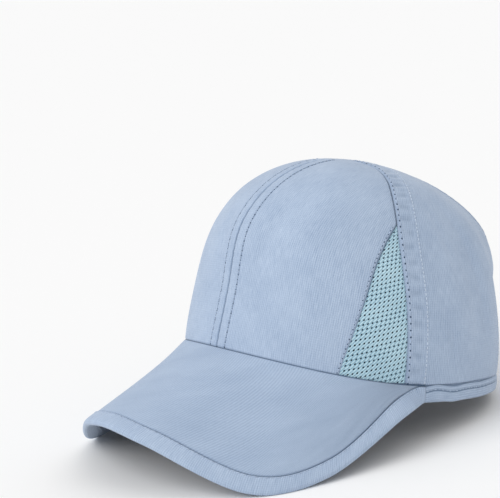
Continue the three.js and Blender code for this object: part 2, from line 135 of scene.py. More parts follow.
def smoothstep(value, low, high):
    share = np.clip((value - low) / (high - low), 0, 1)
    return share * share * (3 - 2 * share)


def arc_share(height):
    """The share of the crown's quarter arc that is reached at a height."""
    return np.arcsin(np.clip(height / CROWN_HEIGHT, -1, 1)) / (np.pi / 2)


def rim_height(turn):
    """The height of the rim seam, which lifts over the peak."""
    share = np.minimum(np.abs(turn) / RIM_RISE_TURN, 1)
    return RIM_RISE * np.clip(np.cos(share * np.pi / 2), 0, 1) ** 1.5


def outline_half(share):
    """Half the crown's width at a share of its quarter arc."""
    return CROWN_HALF_WIDTH * np.cos(share * np.pi / 2) * along(CROWN_PROFILE, "side", share)


def smooth_crown(turn, rise):
    """A point of the unfolded crown: turn is 0 at the centre front, rise is 0 at the rim seam."""
    turn, rise = np.broadcast_arrays(np.asarray(turn, float), np.asarray(rise, float))
    foot = arc_share(rim_height(turn))
    share = foot + (1 - foot) * rise
    width = np.cos(share * np.pi / 2)
    front = -APEX_FORWARD - (CROWN_FRONT - APEX_FORWARD) * width * along(CROWN_PROFILE, "front", share)
    back = -APEX_FORWARD + (CROWN_BACK + APEX_FORWARD) * width * along(CROWN_PROFILE, "back", share)
    middle = -APEX_FORWARD * (1 - width)
    ahead, aside = np.cos(np.radians(turn)), np.sin(np.radians(turn))
    power = np.where(ahead >= 0, 2 / FRONT_ROUNDNESS, 2 / BACK_ROUNDNESS)
    end = np.where(ahead >= 0, front, back)
    x = np.sign(aside) * outline_half(share) * np.abs(aside) ** power
    y = middle + (end - middle) * np.abs(ahead) ** power
    return np.stack([x, y, CROWN_HEIGHT * np.sin(share * np.pi / 2)], -1)


def unit(vectors):
    return vectors / np.maximum(np.linalg.norm(vectors, axis=-1, keepdims=True), 1e-9)


def crown_normal(turn, rise):
    """The crown's outward direction, from small steps along its surface."""
    across = smooth_crown(turn + 0.5, rise) - smooth_crown(turn - 0.5, rise)
    up = smooth_crown(turn, rise) - smooth_crown(turn, rise - 0.002)
    return unit(np.cross(across, up))


def fold_depth(turn, rise, table):
    """How deep the folds of a table lie at a place on the crown."""
    depth = np.zeros(np.broadcast(turn, rise).shape)
    for middle, half, lean, at, half_rise, deep in zip(*table.values()):
        away = (turn - middle - lean * (rise - at) + 180) % 360 - 180
        depth += deep * np.exp(-(away / half) ** 2 - ((rise - at) / half_rise) ** 2)
    return depth


def crown_at(turn, rise, depth):
    """A point at a depth inside the folded crown."""
    folds = fold_depth(turn, rise, CROWN_FOLDS) + fold_depth(turn, rise, CREASES)
    fade = 1 - smoothstep(np.asarray(rise, float), *FOLDS_END)
    return smooth_crown(turn, rise) - crown_normal(turn, rise) * (depth + folds * fade)[..., None]


def besides(turn, rise, distance):
    """A turn moved sideways by a distance on the crown."""
    start = smooth_crown(turn, rise)
    step = smooth_crown(turn + 0.5, rise) - smooth_crown(turn - 0.5, rise)
    moved = turn + distance / np.maximum(np.linalg.norm(step, axis=-1), 1e-3)
    for _ in range(2):
        reached = np.linalg.norm(smooth_crown(moved, rise) - start, axis=-1)
        moved = turn + (moved - turn) * np.abs(distance) / np.maximum(reached, 1e-6)
    return moved


def side_seam_turn(rise):
    return along(SIDE_SEAM, "turn", rise)


def vent_edge_turn(rise):
    across = along(VENT_EDGE, "across", np.clip(rise / VENT_TOP, 0, 1))
    foot = VENT_FOOT_TURN + (side_seam_turn(VENT_TOP) - VENT_FOOT_TURN) * across
    return np.where(rise < VENT_TOP, foot, side_seam_turn(rise))


def run_lengths(points, axis):
    """How far each point of a grid lies along its row or column, in mm."""
    steps = np.linalg.norm(np.diff(points, axis=axis), axis=-1)
    start = np.zeros_like(np.take(steps, [0], axis))
    return np.concatenate([start, np.cumsum(steps, axis)], axis)


def crowded(count, pull):
    """Shares from 0 to 1 that lie closer at both ends."""
    even = np.linspace(0, 1, count)
    return even - pull * np.sin(2 * np.pi * even) / (2 * np.pi)


def ripple(across, up, size):
    """An uneven small wave of the cloth, from -1 to 1."""
    wave = np.sin(across / size + 1.3 * np.sin(up / size * 0.7 + 0.4))
    other = np.sin(up / size * 0.83 - 0.9 * np.sin(across / size * 0.6 + 2.1))
    return 0.5 * (wave + other)


def bell(distance, reach):
    """A smooth bump that is 1 in its middle and dies out over a reach."""
    return np.exp(-(distance / reach) ** 2)


def rolled(distance, depth, reach):
    """How deep cloth turns down into a seam at a distance from it."""
    return depth * bell(distance, reach)


def stitched(distance, run, line, deep=0.3):
    """The dimple along a row of stitches that lies a distance away."""
    pull = 0.65 + 0.35 * np.cos(2 * np.pi * run / STITCH_PITCH)
    return deep * pull * bell(distance - line, 0.6)


def welt(distance, line, high=0.3):
    """The rise of the cloth over a seam allowance, up to its row of stitches."""
    return -high * smoothstep(distance, 0.5, 2) * (1 - smoothstep(distance, line - 0.4, line + 0.7))


def pucker(distance, run, line, high=0.12):
    """The small gathers of the cloth beside a row of stitches."""
    gather = np.sin(2 * np.pi * run / (1.9 * STITCH_PITCH) + 1.5 * np.sin(run / 9))
    return high * bell(distance - line * 0.6, line * 0.7) * gather


def at_rest(points):
    """Points of the upright cap, in mm, as they lie on the table, in metres."""
    x, y, z = points[..., 0], points[..., 1], points[..., 2]
    back = y * np.cos(REST_TILT) + z * np.sin(REST_TILT) + REST_BACK
    up = z * np.cos(REST_TILT) - y * np.sin(REST_TILT) + REST_LIFT
    return np.stack([x, back, np.maximum(up, 0)], -1) / 1000


def piece(name, points, faces, materials, cloth=None, shade=None, which=None):
    """A mesh of the cap. Cloth holds each point's place in the weave in mm, shade the painted shade
    from 0 to 1 of how deep it lies in a seam or crease, kept as the seam attribute, and which the
    material of each face."""
    mesh = bpy.data.meshes.new(name)
    mesh.from_pydata(at_rest(points).tolist(), [], [list(face) for face in faces])
    if cloth is not None:
        weave = np.zeros((len(points), 3), np.float32)
        weave[:, :2] = cloth
        mesh.attributes.new("weave", "FLOAT_VECTOR", "POINT").data.foreach_set("vector", weave.ravel())
    # The seam attribute carries the painted shade
    if shade is not None:
        dark = np.clip(shade, 0, 1).astype(np.float32)
        mesh.attributes.new("seam", "FLOAT", "POINT").data.foreach_set("value", dark)
    for material in materials:
        mesh.materials.append(material)
    if which is not None:
        mesh.polygons.foreach_set("material_index", np.asarray(which, np.int32))
    mesh.polygons.foreach_set("use_smooth", np.ones(len(mesh.polygons), bool))
    mesh.validate()
    mesh.update()
    made = bpy.data.objects.new(name, mesh)
    bpy.context.scene.collection.objects.link(made)
    return made


def closed_sheet(name, outer, inner, materials, cloth, shade, hand=1):
    """A sheet of cloth from the grids of points of its outer and inner faces."""
    rows, columns = outer.shape[:2]
    count = rows * columns
    index = np.arange(count).reshape(rows, columns)
    face = np.stack([index[:-1, :-1], index[:-1, 1:], index[1:, 1:], index[1:, :-1]], -1).reshape(-1, 4)
    rim = np.concatenate([index[0, :-1], index[:-1, -1], index[-1, :0:-1], index[:0:-1, 0]])
    ahead = np.roll(rim, -1)
    wall = np.stack([ahead, rim, rim + count, ahead + count], -1)
    faces = np.concatenate([face, face[:, ::-1] + count, wall])
    which = np.concatenate([np.zeros(len(face)), np.ones(len(face)), np.zeros(len(wall))])
    if hand < 0:
        faces = faces[:, ::-1]
    points = np.concatenate([outer.reshape(-1, 3), inner.reshape(-1, 3)])
    weave = np.concatenate([cloth.reshape(-1, 2)] * 2)
    dark = np.concatenate([shade.ravel(), np.zeros(count)])
    return piece(name, points, faces, materials, weave, dark, which)


def feed(node, inputs):
    """Gives a shader node its inputs, each a value or the socket that feeds it."""
    for key, value in inputs.items():
        if isinstance(value, bpy.types.NodeSocket):
            node.id_data.links.new(value, node.inputs[key])
        else:
            node.inputs[key].default_value = value


def add(tree, kind, inputs=None, **settings):
    """A new shader node with its settings and inputs."""
    made = tree.nodes.new("ShaderNode" + kind)
    for key, value in settings.items():
        setattr(made, key, value)
    feed(made, inputs or {})
    return made


def linear(colour):
    """A colour given as seen, from 0 to 255, as the shader's own values."""
    share = np.array(colour, float) / 255
    return (*np.where(share <= 0.04045, share / 12.92, ((share + 0.055) / 1.055) ** 2.4), 1)


def woven(name, colour, other, seam, across=1.0, up=0.35, pitch=RIB_PITCH, relief=0.00012,
          sheen=0.25, rough=0.8, sway=2.2, streak=0.9):
    """A woven cloth: ribs across and up at a pitch in mm, in two close colours, with painted shade
    towards the seam colour where the seam attribute is high, and uneven threads that streak along its
    ribs."""
    material = bpy.data.materials.new(name)
    material.use_nodes = True
    tree = material.node_tree

    def calc(operation, *values):
        return add(tree, "Math", dict(enumerate(values)), operation=operation).outputs[0]

    def noise(place, scale, detail):
        return add(tree, "TexNoise", {"Vector": place, "Scale": scale, "Detail": detail}).outputs["Fac"]

    weave = add(tree, "Attribute", attribute_name="weave").outputs["Vector"]
    place = add(tree, "SeparateXYZ", {0: weave})
    bend = calc("MULTIPLY", noise(weave, 0.35, 3.0), sway)
    waves = [calc("MULTIPLY_ADD", place.outputs[k], 2 * np.pi / pitch, bend) for k in range(2)]
    rows = calc("MULTIPLY", calc("SINE", waves[1]), up)
    cloth = calc("MULTIPLY_ADD", calc("SINE", waves[0]), across, rows)
    drawn = add(tree, "VectorMath", {0: weave, 1: (1.5, 0.16, 1)}, operation="MULTIPLY").outputs[0]
    streaks = noise(drawn, 1.0, 3.0)
    thread = noise(weave, 1.6, 4.0)
    tint = calc("MULTIPLY_ADD", cloth, 0.16, calc("MULTIPLY", streaks, streak))
    tint = calc("MULTIPLY_ADD", thread, 0.5, tint)
    tint = calc("MULTIPLY_ADD", noise(weave, 0.045, 2.0), 0.5, tint)
    tint = calc("SUBTRACT", tint, 0.5 * streak)
    mixed = add(tree, "Mix", {0: tint, 6: linear(colour), 7: linear(other)}, data_type="RGBA")
    # Painted shade: the seam attribute mixes the colour towards the dark seam colour in seams, grooves
    # and creases
    deep = add(tree, "Attribute", attribute_name="seam").outputs["Fac"]
    shaded = add(tree, "Mix", {0: deep, 6: mixed.outputs[2], 7: linear(seam)}, data_type="RGBA")
    height = calc("MULTIPLY_ADD", thread, 0.8, calc("MULTIPLY", cloth, 0.5))
    height = calc("MULTIPLY_ADD", streaks, 1.2 * streak, height)
    bump = add(tree, "Bump", {"Strength": 0.7, "Distance": relief, "Height": height})
    feed(tree.nodes["Principled BSDF"], {
        "Base Color": shaded.outputs[2],
        "Normal": bump.outputs[0],
        "Roughness": calc("MULTIPLY_ADD", thread, 0.12, rough - 0.06),
        "Sheen Weight": sheen,
        "Sheen Roughness": 0.45,
        "Specular IOR Level": 0.28,
    })
    return material


# The third colour of each cloth is the painted shade of its seams, grooves and creases
crown_cloth = woven("crown_cloth", (142, 162, 190), (190, 206, 227), (66, 92, 122))
# The inner faces: the dark reverse of the cloth, made darker still as painted shade of the cap's inside
inner_cloth = woven("inner_cloth", (60, 70, 92), (80, 88, 110), (34, 40, 54), sheen=0.12)


def front_relief(from_centre, to_edge, from_foot, run, calm, welt_line):
    """The depth of a front gore's seams and stitches, in mm."""
    depth = rolled(from_centre, 0.7, 0.5) + rolled(to_edge, 1, 0.7) + rolled(from_foot, 0.5, 0.5)
    depth += welt(from_centre, welt_line) + stitched(from_centre, run, welt_line)
    depth += pucker(from_centre, run, welt_line)
    depth += stitched(to_edge, run, VENT_STITCH, 0.22) + 0.4 * pucker(to_edge, run, VENT_STITCH)
    depth += 0.1 * ripple(from_centre, run, 7) * smoothstep(from_centre, 6, 12)
    return depth * calm


def picked(values, run, place):
    """Values that are given along a run, at other places on it."""
    return np.stack([np.interp(place, run, values[:, k]) for k in range(3)], -1)


THREAD_SIDES = 6
here = np.arange(THREAD_SIDES)
after = (here + 1) % THREAD_SIDES
ring_cos = np.cos(here * 2 * np.pi / THREAD_SIDES)[:, None]
ring_sin = np.sin(here * 2 * np.pi / THREAD_SIDES)[:, None]


def stitches(name, runs, material, pitch=STITCH_PITCH, length=STITCH_LENGTH, radius=THREAD_RADIUS):
    """Rows of stitches, each row a line of points on the cloth with its outward directions.
    Every stitch is a bent length of thread that goes down into the cloth at both ends."""
    shares = np.array([-0.5, -0.42, -0.2, 0.0, 0.2, 0.42, 0.5])
    girths = np.array([0.3, 0.8, 1, 1, 1, 0.8, 0.3])
    lifts = np.array([-1.3, -0.2, 0.55, 0.75, 0.55, -0.2, -1.3])
    base = np.arange(len(shares) - 1)[:, None] * THREAD_SIDES
    quad = [base + here, base + after, base + after + THREAD_SIDES, base + here + THREAD_SIDES]
    quad = np.stack(quad, -1).reshape(-1, 4)
    ends = np.stack([here[::-1], (len(shares) - 1) * THREAD_SIDES + here])
    all_points, all_faces, start = [], [], 0
    for points, normals in runs:
        run = run_lengths(points, 0)
        count = max(int(run[-1] / pitch), 1)
        centres = (np.arange(count) + 0.5) * run[-1] / count
        place = centres[:, None] + shares * length
        spot = picked(points, run, place)
        out = unit(picked(normals, run, place))
        ahead = unit(spot[:, -1:] - spot[:, :1])
        aside = unit(np.cross(ahead, out))
        middle = spot + out * (lifts * radius)[:, None]
        ring = aside[:, :, None] * ring_cos + out[:, :, None] * ring_sin
        body = middle[:, :, None] + ring * (girths * radius)[:, None, None]
        all_points.append(body.reshape(-1, 3))
        each = start + np.arange(count)[:, None, None] * len(shares) * THREAD_SIDES
        all_faces += (quad + each).reshape(-1, 4).tolist()
        all_faces += (ends + each).reshape(-1, THREAD_SIDES).tolist()
        start += count * len(shares) * THREAD_SIDES
    points = np.concatenate(all_points)
    cloth = np.stack([points[:, 0] + points[:, 1], points[:, 2]], -1)
    return piece(name, points, all_faces, [material], cloth, np.zeros(len(points)))


def needle_hole_shade_beads(name, runs, pitch=STITCH_PITCH, radius=NEEDLE_HOLE):
    """The painted shadow of the needle holes between the stitches of each row, as flat dark beads in
    the cloth.
    """
    cap = np.stack([here, after, 0 * here + THREAD_SIDES], -1)
    base = np.stack([after, here, 0 * here + THREAD_SIDES + 1], -1)
    bead = np.concatenate([cap, base])
    all_points, all_faces, start = [], [], 0
    for points, normals in runs:
        run = run_lengths(points, 0)
        count = max(int(run[-1] / pitch), 1)
        place = np.arange(count + 1) * run[-1] / count
        spot = picked(points, run, place)
        out = unit(picked(normals, run, place))
        ahead = unit(np.gradient(spot, axis=0))
        aside = unit(np.cross(ahead, out))
        ring = ahead[:, None] * ring_cos + aside[:, None] * ring_sin
        edge = spot[:, None] + ring * radius - out[:, None] * 0.1
        top = spot[:, None] + out[:, None] * 0.12
        low = spot[:, None] - out[:, None] * 0.3
        all_points.append(np.concatenate([edge, top, low], 1).reshape(-1, 3))
        each = start + np.arange(count + 1)[:, None, None] * (THREAD_SIDES + 2)
        all_faces += (bead + each).reshape(-1, 3).tolist()
        start += (count + 1) * (THREAD_SIDES + 2)
    points = np.concatenate(all_points)
    return piece(name, points, all_faces, [hole_shadow], points[:, :2], np.zeros(len(points)))


thread = woven("sewing_thread", (160, 180, 206), (196, 208, 226), (92, 116, 146), across=0.6, pitch=0.5)
# Painted shadow: the dark colour of the needle holes' beads
hole_shadow = woven("needle_hole_shadow", (50, 72, 98), (62, 84, 112), (40, 58, 80), sheen=0.05)


def crown_run(turns, rises, depth=0.0):
    """A line on the crown with its outward directions, for a row of stitches."""
    turns, rises = np.broadcast_arrays(turns, rises)
    return crown_at(turns, rises, np.full(turns.shape, float(depth))), crown_normal(turns, rises)


front_rises = crowded(FRONT_ROWS, 0.6) * (GORE_POINT + FRONT_TUCK) - FRONT_TUCK
front_across = crowded(FRONT_COLUMNS, 0.62)
for hand, side in ((1, "left"), (-1, "right")):
    rise = np.broadcast_to(front_rises[:, None], (len(front_rises), len(front_across)))
    low_rise = np.clip(rise, 0, 1)
    edge = vent_edge_turn(low_rise)
    turn = hand * edge * front_across
    lying = smooth_crown(turn, rise)
    from_centre = run_lengths(lying, 1)
    to_edge = from_centre[:, -1:] - from_centre
    run = run_lengths(lying, 0)
    from_foot = low_rise * run[-1:]
    calm = 1 - smoothstep(rise, *RELIEF_END)
    welt_line = CENTRE_WELT_LEFT if hand > 0 else CENTRE_WELT_RIGHT
    depth = front_relief(from_centre, to_edge, from_foot, run, calm, welt_line)
    outer = crown_at(turn, rise, depth)
    inner = crown_at(turn, rise, np.full(depth.shape, CLOTH_THICKNESS))
    # Painted shade along the centre seam, the vent's edge and the rim seam
    shade = rolled(from_centre, 0.8, 0.34) + rolled(to_edge, 1, 0.85) + rolled(from_foot, 0.8, 0.3)
    cloth = np.stack([hand * from_centre, run], -1)
    name = "front_panel_" + side
    gore = closed_sheet(name + "_cloth", outer, inner, [crown_cloth, inner_cloth], cloth, shade, hand)
    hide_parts(name)
    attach(gore, "root")

welt_rises = np.linspace(0.005, 0.93, 160)
edge_rises = np.linspace(0.005, 0.5, 90)
centre_runs, front_edge_runs = [], []
for hand, welt_line in ((1, CENTRE_WELT_LEFT), (-1, -CENTRE_WELT_RIGHT)):
    beside = besides(0 * welt_rises, welt_rises, welt_line)
    centre_runs.append(crown_run(beside, welt_rises, -STITCH_LIFT))
    beside = besides(vent_edge_turn(edge_rises), edge_rises, -VENT_STITCH)
    front_edge_runs.append(crown_run(hand * beside, edge_rises, 0.0))
front_topstitch = stitches("front_topstitch", centre_runs + front_edge_runs, thread)
front_holes = needle_hole_shade_beads("front_needle_holes", centre_runs, STITCH_PITCH, CENTRE_HOLE)
edge_holes = needle_hole_shade_beads("vent_edge_needle_holes", front_edge_runs)
for made in (front_topstitch, front_holes, edge_holes):
    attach(made, "root")

# Vents
# A triangle of pierced knit lies beside each front gore, a little below the cloth round it.
# Its holes stand in slanting rows, and its edges run under the gores that it is sewn between.

VENT_DEPTH = 0.5
VENT_TUCK = 2.2
VENT_TUCK_DEPTH = 1.3
NET_THICKNESS = 0.6
NET_PITCH = 2.7
NET_SLANT = 19
NET_HOLE_LENGTH = 0.64
NET_HOLE_WIDTH = 0.33
NET_HOLE_SIDES = 12
NET_RIB_SLANT = 47
NET_RIB_PITCH = 1.24
# The plain border of each hole, and the crown's curve over the straight height of a vent
NET_BORDER = 0.26
VENT_ARC = 1.04

vent_tip = smooth_crown(side_seam_turn(VENT_TOP), VENT_TOP)
vent_height = np.linalg.norm(vent_tip - smooth_crown(side_seam_turn(0.0), 0.0)) * VENT_ARC


def vent_width(up):
    """The width of a vent at a height up its side seam, both in mm."""
    rise = np.clip(up / vent_height * VENT_TOP, 0, VENT_TOP)
    turn = side_seam_turn(rise)
    step = np.linalg.norm(smooth_crown(turn, rise) - smooth_crown(turn - 1, rise), axis=-1)
    return (turn - vent_edge_turn(rise)) * step


def net_pattern():
    """The flat net: its points, its triangles and how far each point lies from a hole."""
    reach = int(vent_height / NET_PITCH) + 12
    i, j = np.meshgrid(np.arange(-reach, reach), np.arange(-reach, reach))
    slant = np.radians(180 - NET_SLANT)
    first = np.array([np.cos(slant), np.sin(slant)]) * NET_PITCH * -1
    second = np.array([np.cos(slant + np.pi / 3), np.sin(slant + np.pi / 3)]) * NET_PITCH * -1
    holes = i.ravel()[:, None] * first + j.ravel()[:, None] * second
    inside = (holes[:, 0] > -1.2) & (holes[:, 0] < vent_width(holes[:, 1]) + 1.2)
    inside &= (holes[:, 1] > -0.6) & (holes[:, 1] < vent_height + 0.2)
    holes = holes[inside]
    angles = np.arange(NET_HOLE_SIDES) * 2 * np.pi / NET_HOLE_SIDES
    size = np.array([NET_HOLE_LENGTH, NET_HOLE_WIDTH])
    ring = np.stack([np.cos(angles), np.sin(angles)], -1)
    lie = np.radians(180 - NET_RIB_SLANT)
    turned = np.array([[np.cos(lie), np.sin(lie)], [-np.sin(lie), np.cos(lie)]])
    loops = holes[:, None] + (ring * size) @ turned
    outer_loops = holes[:, None] + (ring * (size + NET_BORDER)) @ turned
    webs = np.concatenate([holes + (first + second) / 3, holes + (2 * second - first) / 3])
    ups = np.arange(-1.5, vent_height + 1.5, 0.9)
    seam_side = np.stack([np.full(len(ups), -VENT_TUCK), ups], -1)
    front_side = np.stack([vent_width(ups) + VENT_TUCK, ups], -1)[::-1]
    steps = np.linspace(0, 1, 40)[1:-1, None]
    foot = front_side[-1] + (seam_side[0] - front_side[-1]) * steps
    outline = np.concatenate([seam_side, front_side, foot])
    points = np.concatenate([loops.reshape(-1, 2), outline, outer_loops.reshape(-1, 2), webs])
    held = np.concatenate([np.ones(loops.size // 2 + len(outline), bool), np.zeros(len(points), bool)])
    width = vent_width(points[:, 1])
    fits = (points[:, 0] > 0.3 - VENT_TUCK) & (points[:, 0] < width + VENT_TUCK - 0.3)
    fits &= (points[:, 1] > -1.3) & (points[:, 1] < vent_height + 1)
    keep = held[: len(points)] | fits
    points = points[keep]
    ids = np.arange(len(holes) * NET_HOLE_SIDES).reshape(-1, NET_HOLE_SIDES)
    edges = np.stack([ids, np.roll(ids, -1, 1)], -1).reshape(-1, 2).tolist()
    ids = ids.size + np.arange(len(outline))
    edges += np.stack([ids, np.roll(ids, -1)], -1).tolist()
    flat, _, faces, *_ = delaunay_2d_cdt([Vector(p) for p in points], edges, [], 0, 1e-5)
    flat = np.array([tuple(p) for p in flat])
    faces = np.array([tuple(face) for face in faces])
    middle = flat[faces].mean(1)
    gap = np.linalg.norm((middle[:, None] - holes) @ turned.T / size, axis=-1).min(1)
    inside = gap > 0.96
    inside &= (middle[:, 0] > -VENT_TUCK) & (middle[:, 0] < vent_width(middle[:, 1]) + VENT_TUCK)
    faces = faces[inside]
    used = np.unique(faces)
    number = np.full(len(flat), -1)
    number[used] = np.arange(len(used))
    flat = flat[used]
    away = (flat[:, None] - holes) @ turned.T
    near = np.linalg.norm(away / size, axis=-1)
    gap = (near.min(1) - 1) * NET_HOLE_WIDTH
    weave = np.stack([flat @ turned[1] - NET_RIB_PITCH / 4, flat @ turned[0]], -1)
    return flat, number[faces], gap, weave


def net_sheet(name, hand):
    """The net laid on the crown, with its thickness and the walls of its holes."""
    flat, faces, gap, weave = net_pattern()
    rise = flat[:, 1] / vent_height * VENT_TOP
    seam = side_seam_turn(np.clip(rise, 0, 1))
    turn = hand * besides(seam, rise, -flat[:, 0])
    edge = np.minimum(np.minimum(flat[:, 0], vent_width(flat[:, 1]) - flat[:, 0]), flat[:, 1])
    edge = np.minimum(edge, (vent_height - flat[:, 1]) * 0.5)
    tuck = 1 - smoothstep(edge, -0.9, 1.6)
    web = 0.2 * smoothstep(gap, 0, 0.3)
    depth = VENT_DEPTH + (VENT_TUCK_DEPTH - VENT_DEPTH) * tuck - web * (1 - tuck)
    outer = crown_at(turn, rise, depth)
    inner = crown_at(turn, rise, depth + NET_THICKNESS)
    count = len(flat)
    corner = np.concatenate([faces[:, [0, 1]], faces[:, [1, 2]], faces[:, [2, 0]]])
    key = np.sort(corner, 1)
    _, where, times = np.unique(key[:, 0] * count + key[:, 1], return_index=True, return_counts=True)
    rim = corner[where[times == 1]]
    wall = np.stack([rim[:, 1], rim[:, 0], rim[:, 0] + count, rim[:, 1] + count], -1)
    every = faces.tolist() + (faces[:, ::-1] + count).tolist() + wall.tolist()
    if hand > 0:
        every = [face[::-1] for face in every]
    points = np.concatenate([outer, inner])
    cloth = np.concatenate([weave, weave])
    # Painted shade round the holes, over the whole inner face seen through them, and along the front
    # edge
    shade = np.concatenate([0.7 * (1 - smoothstep(gap, 0, 0.2)), np.full(count, 0.9)])
    front_edge = smoothstep(flat[:, 0] - vent_width(flat[:, 1]), -0.5, 0.3)
    shade = np.maximum(shade, np.concatenate([0.85 * front_edge] * 2))
    return piece(name, points, every, [vent_net], cloth, shade)


vent_net = woven("vent_net", (138, 178, 200), (206, 235, 245), (84, 118, 138), across=2.6, up=0.0,
                 pitch=NET_RIB_PITCH, rough=0.72, sway=0.0, streak=0.15)
for hand, side in ((1, "left"), (-1, "right")):
    name = "mesh_insert_" + side
    net = net_sheet(name + "_net", hand)
    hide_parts(name)
    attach(net, "root")

# Back gores
# Two gores of the same cloth run from the side seams to the ponytail opening, whose edge is
# turned in and topstitched, and on into the tabs of the closure. The right tab laps the left.

OPENING_FOOT = 41
OPENING_TOP = 112
OPENING_HALF_WIDTH = 28.6
TAB_REACH = 31
TAB_END_HEIGHT = 28.6
LAP_DEPTH = 4.4
LAP_MARGIN = 12
LAP_BLEND_WIDTH = 26
LAP_BLEND_HEIGHT = 22
HEM_STITCH = 6.8
SIDE_WELT = 12
SIDE_STITCH = 1.5
SIDE_STITCH_PITCH = 3.6
SIDE_STITCH_LENGTH = 2.6
SIDE_HOLE = 0.55
# The pitch, the length and the thread's radius of the pale stitches of the welt
PALE_STITCH = (2.4, 1.9, 0.34)
BACK_WELT = 6
BACK_STEP = 0.85
BACK_COLUMNS = 138
RING_STEPS = 75
SIDE_STITCH_LIFT = 0.22
PALE_STITCH_LIFT = 0.05

OPENING_OUTLINE = {
    "up": [0, 0.106, 0.324, 0.493, 0.62, 0.76, 0.882, 0.965, 1],
    "half": [0, 0.385, 0.783, 0.951, 0.993, 1, 0.829, 0.46, 0],
}
TAB_EDGE = {
    "reach": [1, 0.48, 0.27, 0],
    "up": [0, 0.226, 0.556, 1],
}
# The pulls of the closure in the cloth beside it, seen from behind: mm from and to, and depth
PULLS = {
    "from_x": [-21, -25, -24, 8, -6, -34],
    "from_z": [4, 40, 22, 31, 20, 8],
    "to_x": [-34, -46, -40, -16, 22, -52],
    "to_z": [30, 74, 40, 27, 24, 26],
    "width": [2, 2.8, 3, 2, 1.9, 3],
    "depth": [1.5, 1.3, -0.9, 0.9, 0.6, 0.8],
}


def curve_through(points, count):
    """A round curve through points, at even steps of its own measure."""
    ends = [2 * points[0] - points[1], *points, 2 * points[-1] - points[-2]]
    at = np.linspace(0, len(points) - 1, count)
    row = np.minimum(at.astype(int), len(points) - 2)
    share = (at - row)[:, None]
    a, b, c, d = (np.array([ends[k + step] for k in row]) for step in range(4))
    cubic = (3 * b - a - 3 * c + d) * share + 2 * a - 5 * b + 4 * c - d
    return b + 0.5 * share * (c - a + share * cubic)


def closing_edge():
    """The free edge of the right gore as seen from behind, x and z in mm: up the end of the
    tab, along its upper edge, round the opening and up the centre seam."""
    end = np.stack([np.full(40, TAB_REACH), np.linspace(-0.6, TAB_END_HEIGHT, 40)], -1)
    reach, up = (np.array(column, float) for column in TAB_EDGE.values())
    corners = np.stack([reach * TAB_REACH, TAB_END_HEIGHT + up * (OPENING_FOOT - TAB_END_HEIGHT)], -1)
    lap = curve_through(list(corners), 160)[1:]
    up, half = (np.array(column, float) for column in OPENING_OUTLINE.values())
    height = OPENING_FOOT + up * (OPENING_TOP - OPENING_FOOT)
    ring = list(np.stack([-half * OPENING_HALF_WIDTH, height], -1))
    gaps = len(ring)
    ring = curve_through([*ring, ring[-2] * [-1, 1]], RING_STEPS * gaps + 1)
    ring = ring[1:RING_STEPS * (gaps - 1) + 1]
    top = CROWN_HEIGHT * np.sin(GORE_POINT * np.pi / 2)
    share = np.sin(np.linspace(0, np.pi / 2, 240))[1:]
    seam = np.stack([0 * share, OPENING_TOP + (top - OPENING_TOP) * share], -1)
    return np.concatenate([end, lap, ring, seam])


def back_turn(x, rise):
    """The turn on the right gore, or past its end, of a place seen from behind."""
    aside = np.degrees(np.arcsin(np.clip(np.abs(x) / outline_half(rise), 0, 1) ** (BACK_ROUNDNESS / 2)))
    return -180 - np.sign(x) * aside


def lap_share(points):
    """How far the left tab dips below the right one at a place, from 0 to 1."""
    full = TAB_REACH + LAP_MARGIN
    aside = smoothstep(points[..., 0], full, full + LAP_BLEND_WIDTH)
    above = smoothstep(points[..., 2], OPENING_FOOT, OPENING_FOOT + LAP_BLEND_HEIGHT)
    return (1 - aside) * (1 - above)


def pull_depth(x, z):
    """How deep the closure's pulls lie at a place seen from behind."""
    depth = np.zeros(np.shape(x))
    for from_x, from_z, to_x, to_z, width, deep in zip(*PULLS.values()):
        line = np.array([to_x - from_x, to_z - from_z], float)
        length = np.linalg.norm(line)
        line /= length
        run = ((x - from_x) * line[0] + (z - from_z) * line[1]) / length
        away = (x - from_x) * line[1] - (z - from_z) * line[0]
        ends = smoothstep(run, -0.15, 0.25) * (1 - smoothstep(run, 0.6, 1.15))
        depth += deep * ends * bell(away, width)
    return depth


def gore_depth(turn, rise, hand):
    """How deep a back gore lies at a place: the left one below the lap, the right one in its
    pulls."""
    place = smooth_crown(turn, rise)
    if hand > 0:
        return LAP_DEPTH * lap_share(place)
    return pull_depth(place[..., 0], place[..., 2])


def gore_line(x, z, hand):
    """A line of a back gore at places seen from behind, with its outward directions."""
    rise = arc_share(z)
    turn = -hand * back_turn(x, rise)
    return crown_at(turn, rise, gore_depth(turn, rise, hand)), crown_normal(turn, rise)


def nearest(points, line):
    """The distance from each point to a line of points, and how far along it lies."""
    run = run_lengths(line, 0)
    flat = points.reshape(-1, 3)
    distance, place = np.empty(len(flat)), np.empty(len(flat))
    few = 4000
    for start in range(0, len(flat), few):
        part = flat[start:start + few]
        apart = np.linalg.norm(part[:, None] - line, axis=-1)
        closest = apart.argmin(1)
        distance[start:start + few] = apart[np.arange(len(part)), closest]
        place[start:start + few] = run[closest]
    return distance.reshape(points.shape[:-1]), place.reshape(points.shape[:-1])


